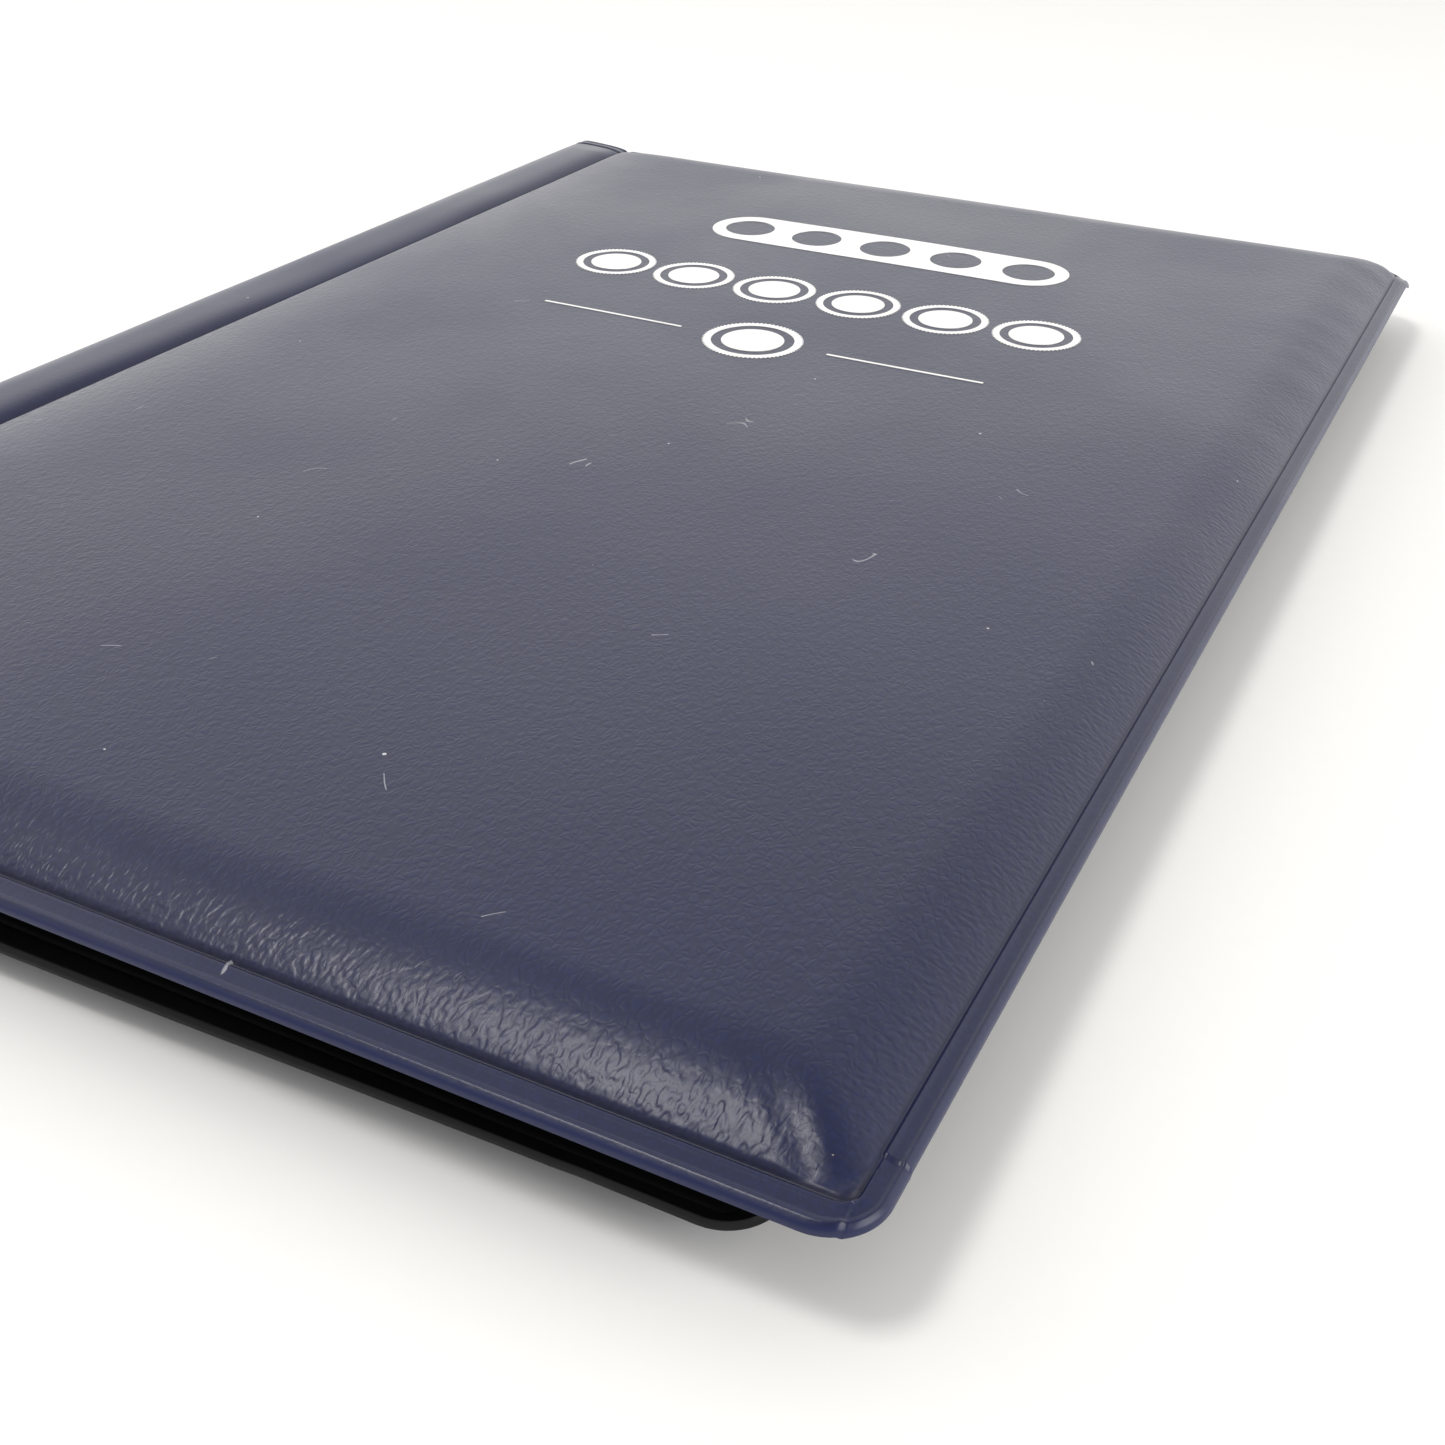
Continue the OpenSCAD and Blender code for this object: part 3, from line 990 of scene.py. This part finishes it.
class ALBUM_OT_spine(bpy.types.Operator):
    """Builds the soft spine: skin and lining, each shaped round the weld groove and the two folds"""

    bl_idname = "album.spine"
    bl_label = "Spine"
    bl_options = {"REGISTER", "UNDO"}

    def execute(self, context):
        cover = CoverShape()
        shape = SpineShape(cover)
        skin, lining_t = cover.cover.skin, cover.cover.lining
        groove = np.array([cover.groove, cover.rim_top - skin / 2])
        bends = (
            ("groove", "front_strip", "front_cover", groove, (1.0, 0.0), (-0.75, 0.1),
             ("front_spine_strip", "front_strip_lining")),
            ("top_fold", "front_strip", "spine_wall", shape.front_bend, (-0.83, -0.56), (-1.1, 1.1),
             ("spine_wall_skin", "spine_wall_lining")),
            ("low_fold", "spine_wall", "back_cover", shape.back_bend, (0.707, -0.707), (0.3, 2.2),
             ("back_spine_strip", "back_strip_lining")),
        )
        half = skin / 2
        layers = (
            ("skin", "spine_vinyl", "Smooth spine vinyl", half, -half, 0.0, True),
            ("lining", "black_lining", "Smooth lining vinyl", -half - 0.02 * MM, -half - lining_t,
             0.45 * MM, False),
        )
        for part, (name, body_a, body_b, place, way, reach, nodes) in zip(shape.parts(), bends):
            start, end = (place + far * MM * np.array(way) for far in reach)
            for (layer, slot, look, *depths), node in zip(layers, nodes):
                verts, faces, masks = shape.sheet(part, *depths)
                obj = new_object(f"spine_{name}_{layer}", verts, faces, finish(look), 60, masks)
                row_point(start)
                row_point(end)
                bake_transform(obj)
                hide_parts(node)
        return {"FINISHED"}


class ALBUM_OT_leaf_binding(bpy.types.Operator):
    """Builds the strip that the leaves are welded to, and each leaf's root"""

    bl_idname = "album.leaf_binding"
    bl_label = "Leaf binding"
    bl_options = {"REGISTER", "UNDO"}

    def execute(self, context):
        spine = SpineShape(CoverShape())
        run = spine.front_bend - spine.back_bend
        run /= np.linalg.norm(run)
        inward = np.array([run[1], -run[0]])
        c = context.scene.album_cover
        depth = c.skin / 2 + c.lining
        thick = context.scene.album_spine.binding
        roots = [self._root(leaf) for leaf in LEAVES]
        places = [float((root - spine.back_bend) @ run) for root in roots]
        low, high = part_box("leaf_01_back_film")
        ys = np.linspace(low.y, high.y, 40)
        weld = 0.24 * MM
        t = stretches(*[(p - weld, p + weld, 6) for p in places],
                      (min(places) - 0.8 * MM, min(places) - weld, 3),
                      (max(places) + weld, max(places) + 0.4 * MM, 2))
        rib = sum(bell(t, p, 0.1 * MM) for p in places)
        inner_face = depth + thick * 0.72 + 0.1 * MM * np.clip(rib, 0, 1)
        outer_face = np.full_like(t, depth + 0.01 * MM)
        grids = []
        for face in (inner_face, outer_face):
            line = spine.back_bend + t[:, None] * run + face[:, None] * inward
            grids.append(stack(*np.broadcast_arrays(line[:, :1], ys[None, :], line[:, 1:])))
        strip = new_object("leaf_binding", *shell(*grids), finish("Black leaf film"))
        settle(strip, "spine_wall", "black_film", "leaf_binding_strip")
        for leaf, root in zip(LEAVES, roots):
            self._tab(leaf, root, ys)
        return {"FINISHED"}

    @staticmethod
    def _root(leaf):
        """Where a leaf is welded to the strip, seen along the spine."""
        place = JOINTS[leaf + "_turn"]["pos_m"]
        return np.array([place[0], place[2]])

    @staticmethod
    def _tab(leaf, root, ys):
        """The stretch of film between the binding strip and the flat leaf."""
        low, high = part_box(leaf + "_back_film")
        x = np.linspace(root[0] - 0.12 * MM, low.x + 0.01 * MM, 14)
        gx, gy = np.meshgrid(x, ys, indexing="ij")
        sheet = shell(stack(gx, gy, 0 * gx + high.z), stack(gx, gy, 0 * gx + low.z))
        obj = new_object(leaf + "_root", *sheet, finish("Black leaf film"))
        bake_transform(obj)


class ALBUM_OT_leaves(bpy.types.Operator):
    """Builds the leaves: a backing film and rows of pockets with welded seams and thumb notches"""

    bl_idname = "album.leaves"
    bl_label = "Pocket leaves"
    bl_options = {"REGISTER", "UNDO"}

    def execute(self, context):
        s = context.scene.album_leaf
        meshes = {"back": self._backing(s, LEAVES[0]), "pocket": self._pockets(s, LEAVES[0])}
        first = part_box(LEAVES[0] + "_back_film")[0]
        for leaf in LEAVES:
            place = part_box(leaf + "_back_film")[0] - first
            for part, slot in (("back", "black_film"), ("pocket", "clear_film")):
                obj = bpy.data.objects.new(f"{leaf}_{part}", meshes[part])
                context.scene.collection.objects.link(obj)
                obj.location = place
                settle(obj, leaf, slot, f"{leaf}_{part}_film")
        return {"FINISHED"}

    @staticmethod
    def _lines(start, pitch, count, seam):
        """Stretches of mesh lines over a row of pockets, close together on the seams."""
        lines = []
        for k in range(count):
            a = start + k * pitch
            lines += [(a, a + seam, 4), (a + seam, a + pitch - seam, 14), (a + pitch - seam, a + pitch, 4)]
        return lines

    @staticmethod
    def _seams(x, start, pitch, count, seam):
        """1 on the seams of a row of pockets and 0 between them, at each place."""
        return np.maximum.reduce([bell(x, start + k * pitch, seam / 2) for k in range(count + 1)])

    def _backing(self, s, leaf):
        """Mesh of the black film behind the pockets, with a dent along each seam."""
        low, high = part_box(leaf + "_back_film")
        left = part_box(leaf + "_pocket_film")[0].x
        across = (left, (high.x - left) / s.columns, s.columns, s.seam)
        up = (low.y, (high.y - low.y) / s.rows, s.rows, s.seam)
        xs = stretches((low.x, left, 6), *self._lines(*across))
        x, y = np.meshgrid(xs, stretches(*self._lines(*up)), indexing="ij")
        x, y = rounded_ends(x, y, high.x, low.y, high.y, 3 * MM)
        dent = 0.03 * MM * np.maximum(self._seams(x, *across), self._seams(y, *up))
        sheet = shell(stack(x, y, high.z - 0.01 * MM + 0 * x), stack(x, y, low.z + dent))
        return new_mesh("leaf_backing", *sheet, finish("Black leaf film"), 50)

    def _pockets(self, s, leaf):
        """Mesh of the clear films, one for each row of pockets, open at the top with thumb notches."""
        low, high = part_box(leaf + "_pocket_film")
        back_low, back_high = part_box(leaf + "_back_film")
        row = (back_high.y - back_low.y) / s.rows
        pitch = (high.x - low.x) / s.columns
        across = (low.x, pitch, s.columns, s.seam)
        xs = stretches(*self._lines(*across))
        parts = ((0, 0.03, 5), (0.03, 0.8, 12), (0.8, 1, 10))
        rise = np.unique(np.concatenate([np.linspace(*part) for part in parts]))
        off_middle = np.abs((xs - low.x) % pitch - pitch / 2)
        notch = np.sqrt(np.clip(s.notch ** 2 - off_middle ** 2, 0, None)) * 0.8
        all_verts, all_faces, all_seams, count = [], [], [], 0
        for k in range(s.rows):
            bottom_y = back_low.y + k * row
            mouth = bottom_y + row - 1.0 * MM
            y = bottom_y + (mouth - notch - bottom_y)[:, None] * rise[None, :]
            x = np.broadcast_to(xs[:, None], y.shape)
            seam = np.maximum(self._seams(x, *across), bell(y, bottom_y, s.seam / 2))
            share = ((x - low.x) % pitch) / pitch
            puff = s.bulge * np.sin(math.pi * share) * np.sin(math.pi * (0.15 + 0.7 * rise))[None, :]
            z = low.z + 0.15 * MM - 0.06 * MM * seam + puff * (1 - seam)
            under = np.maximum(z - 0.1 * MM, low.z + 0.005 * MM)
            verts, faces = shell(stack(x, y, z), stack(x, y, under))
            all_verts.append(verts)
            all_faces += [tuple(i + count for i in f) for f in faces]
            all_seams.append(on_both_faces(seam))
            count += len(verts)
        verts, masks = np.concatenate(all_verts), {"seam": np.concatenate(all_seams)}
        return new_mesh("leaf_pockets", verts, all_faces, finish("Clear pocket film"), 50, masks)


def rounded_ends(x, y, right, low_y, high_y, radius):
    """Rounds a grid's two right-hand corners by squeezing its last columns."""
    for end in (low_y, high_y):
        up = np.abs(y - end)
        inside = up < radius
        cut = radius - np.sqrt(np.clip(radius ** 2 - (radius - up) ** 2, 0, None))
        share = smooth_step(x, right - 4 * radius, right)
        x = np.where(inside, x - cut * share, x)
    return x, y


class ALBUM_OT_foil_stamp(bpy.types.Operator):
    """Lays the silver stamp on the padding: a plaque with windows, a row of coins and a ruled line"""

    bl_idname = "album.foil_stamp"
    bl_label = "Foil stamp"
    bl_options = {"REGISTER", "UNDO"}

    def execute(self, context):
        self.shape = CoverShape()
        self.lift = context.scene.album_foil.lift
        low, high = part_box("front_foil_stamp")
        middle = (low.x + high.x) / 2
        height = self.shape.head - self.shape.tail
        rule_y, row_y, plaque_y = (self.shape.tail + height * share for share in (0.6, 0.692, 0.808))
        self.verts, self.faces = [], []
        self._plaque(middle, plaque_y, 51 * MM, 11 * MM, 5)
        coins = context.scene.album_foil.coins
        for k in range(coins):
            self._coin(middle + (k - (coins - 1) / 2) * 11.5 * MM, row_y, 10.6 * MM, 64)
        for side in (-1, 1):
            self._rule(middle + side * 19 * MM, rule_y, 19 * MM, 0.42 * MM)
        self._coin(middle, rule_y, 12 * MM, 72)
        obj = new_object("foil_stamp", self.verts, self.faces, finish("Stamped foil"))
        settle(obj, "front_cover", "silver_foil", "front_foil_stamp")
        return {"FINISHED"}

    def _add(self, x, y):
        """Adds a grid of foil lying on the skin."""
        inland = np.full_like(x, 1.0)
        ground = self.shape.skin_top(x, y, inland)
        verts, faces = shell(stack(x, y, ground + self.lift), stack(x, y, ground - 0.03 * MM))
        start = len(self.verts)
        self.verts += [tuple(p) for p in verts]
        self.faces += [tuple(i + start for i in f) for f in faces]

    def _coin(self, x, y, size, reeds):
        """Reeded rim, a gap, and a solid middle."""
        turn = np.linspace(0, 2 * math.pi, 4 * reeds + 1)
        reed = np.where(np.floor(np.arange(4 * reeds + 1) / 2) % 2 == 0, 1.0, 0.965)
        for inner, outer, reeded in ((0.41, 0.5, True), (0.0, 0.31, False)):
            share = np.linspace(inner, outer, 5)
            radius = size * share[:, None] * np.ones_like(turn)[None, :]
            if reeded:
                radius[-1] *= reed
            radius = np.maximum(radius, 1e-5)
            self._add(x + radius[::-1] * np.cos(turn), y + radius[::-1] * np.sin(turn))

    def _rule(self, x, y, w, h):
        """A thin straight line."""
        along, up = np.linspace(x - w / 2, x + w / 2, 30), np.linspace(y - h / 2, y + h / 2, 3)
        self._add(*np.meshgrid(along, up, indexing="ij"))

    def _plaque(self, x, y, w, h, windows):
        """Plaque with round ends; above and below the row of windows it is one band each."""
        hole, pitch, half = h * 0.31, h * 0.92, h / 2
        bow = np.sin(np.linspace(-math.pi / 2, math.pi / 2, 25))
        spots = [x + (k - (windows - 1) / 2) * pitch for k in range(windows)]
        xs = [spot + hole * bow for spot in spots]
        end_bow = half * np.sin(np.linspace(0, math.pi / 2, 14))
        xs += [x + s * (w / 2 - half) + s * end_bow for s in (-1, 1)]
        xs = np.unique(np.round(np.concatenate(xs), 7))
        over = np.abs(xs - x) - (w / 2 - half)
        outline = np.sqrt(np.clip(half ** 2 - np.clip(over, 0, None) ** 2, 0, None))
        window = np.zeros_like(xs)
        for spot in spots:
            window = np.maximum(window, np.sqrt(np.clip(hole ** 2 - (xs - spot) ** 2, 0, None)))
        outline = np.maximum(outline, window + 0.02 * MM)
        share = np.linspace(0, 1, 5)
        rise = window[:, None] + (outline - window)[:, None] * share[None, :]
        gx = np.broadcast_to(xs[:, None], rise.shape)
        self._add(gx, y + rise)
        self._add(gx[::-1], y - rise[::-1])


# ---- Stage ----


def area_light(name, place, target, size, power, tint):
    """A soft rectangular light that faces its target."""
    data = bpy.data.lights.new(name, "AREA")
    data.shape = "RECTANGLE"
    data.size, data.size_y = size
    data.energy = power
    data.color = tint
    obj = bpy.data.objects.new(name, data)
    bpy.context.scene.collection.objects.link(obj)
    obj.location = place
    obj.rotation_euler = (Vector(target) - Vector(place)).to_track_quat("-Z", "Y").to_euler()


class ALBUM_OT_stage(bpy.types.Operator):
    """Sets up the floor, the soft lights and the camera"""

    bl_idname = "album.stage"
    bl_label = "Stage"
    bl_options = {"REGISTER", "UNDO"}

    def execute(self, context):
        s = context.scene.album_stage
        context.scene.view_settings.view_transform = "Standard"
        self._floor(s)
        self._surround(s)
        warm, centre = (1.0, 0.99, 0.97), (0, 0, 0)
        area_light("overhead", (-0.21, -0.21, 0.75), (0.02, -0.03, 0), (0.20, 0.20), s.key, warm)
        area_light("right", (1.0, -0.1, 0.5), centre, (0.6, 0.5), s.right, warm)
        area_light("left", (-1.05, 0.0, 0.30), centre, (0.6, 0.4), s.left, (1.0, 0.99, 0.98))
        self._camera(context, s)
        return {"FINISHED"}

    @staticmethod
    def _floor(s):
        """A wide, plain, matt floor just under the album."""
        f = Finish("Pale floor")
        tone = f.mix(f.noise(f.place, 400.0), shade(s.floor, 0.985), shade(s.floor))
        f.feed(f.shader, {"Base Color": tone, "Roughness": 0.9, "Specular IOR Level": 0.1})
        reach = 3.0
        verts = [(x * reach, y * reach, -0.1 * MM) for x, y in ((-1, -1), (1, -1), (1, 1), (-1, 1))]
        floor = new_object("floor", verts, [(0, 1, 2, 3)], f.material)

    @staticmethod
    def _surround(s):
        """A pale surround, brighter behind the album and low down, and darker straight above."""
        world = bpy.data.worlds.new("Surround")
        bpy.context.scene.world = world
        world.use_nodes = True
        tree = world.node_tree
        w = Wiring(tree)
        direction = w.node("ShaderNodeTexCoord").outputs["Generated"]
        away = {0: direction, 1: (-0.35, 0.94, 0.0)}
        behind = w.node("ShaderNodeVectorMath", away, operation="DOT_PRODUCT").outputs["Value"]
        up = w.node("ShaderNodeSeparateXYZ", {"Vector": direction}).outputs[2]
        strength = w.product(w.between(behind, -0.5, 0.7, s.front, s.sky),
                             w.between(up, 0.5, 0.85, 1.0, s.zenith),
                             w.between(up, 0.02, 0.32, 1.45, 1.0))
        w.feed(tree.nodes["Background"], {"Color": (1.0, 0.995, 0.98, 1.0), "Strength": strength})

    @staticmethod
    def _camera(context, s):
        """A camera at the chosen eye, which looks forward with its own up."""
        data = bpy.data.cameras.new("Camera")
        data.sensor_width = 36
        data.lens = s.lens
        data.clip_start = 0.001
        camera = bpy.data.objects.new("Camera", data)
        context.scene.collection.objects.link(camera)
        back = -Vector(s.forward).normalized()
        right = Vector(s.up).cross(back).normalized()
        up = back.cross(right)
        turn = Matrix((right, up, back)).transposed().to_4x4()
        camera.matrix_world = Matrix.Translation(Vector(s.eye)) @ turn
        context.scene.camera = camera


# ---- Panel and registering ----

STEPS = (
    ALBUM_OT_cover_skins,
    ALBUM_OT_cover_cores,
    ALBUM_OT_cover_linings,
    ALBUM_OT_spine,
    ALBUM_OT_leaf_binding,
    ALBUM_OT_leaves,
    ALBUM_OT_foil_stamp,
    ALBUM_OT_stage,
)


class ALBUM_PT_panel(bpy.types.Panel):
    """Lists the steps that build the album, and its settings"""

    bl_label = "Coin album"
    bl_idname = "ALBUM_PT_panel"
    bl_space_type = "VIEW_3D"
    bl_region_type = "UI"
    bl_category = "Coin album"

    def draw(self, context):
        layout = self.layout
        for step in STEPS:
            layout.operator(step.bl_idname)
        for key in SETTINGS:
            box = layout.box()
            group = getattr(context.scene, key)
            for name in group.__annotations__:
                box.prop(group, name)


CLASSES = (*SETTINGS.values(), *STEPS, ALBUM_PT_panel)


def register():
    """Makes the settings, the steps and the panel known to Blender."""
    for each in CLASSES:
        bpy.utils.register_class(each)
    for key, group in SETTINGS.items():
        setattr(bpy.types.Scene, key, PointerProperty(type=group))


def unregister():
    """Takes them out again."""
    for key in SETTINGS:
        delattr(bpy.types.Scene, key)
    for each in reversed(CLASSES):
        bpy.utils.unregister_class(each)


def main():
    """Builds every piece and the stage."""
    register()
    for step in STEPS:
        area, name = step.bl_idname.split(".")
        getattr(getattr(bpy.ops, area), name)()


if __name__ == "__main__":
    main()
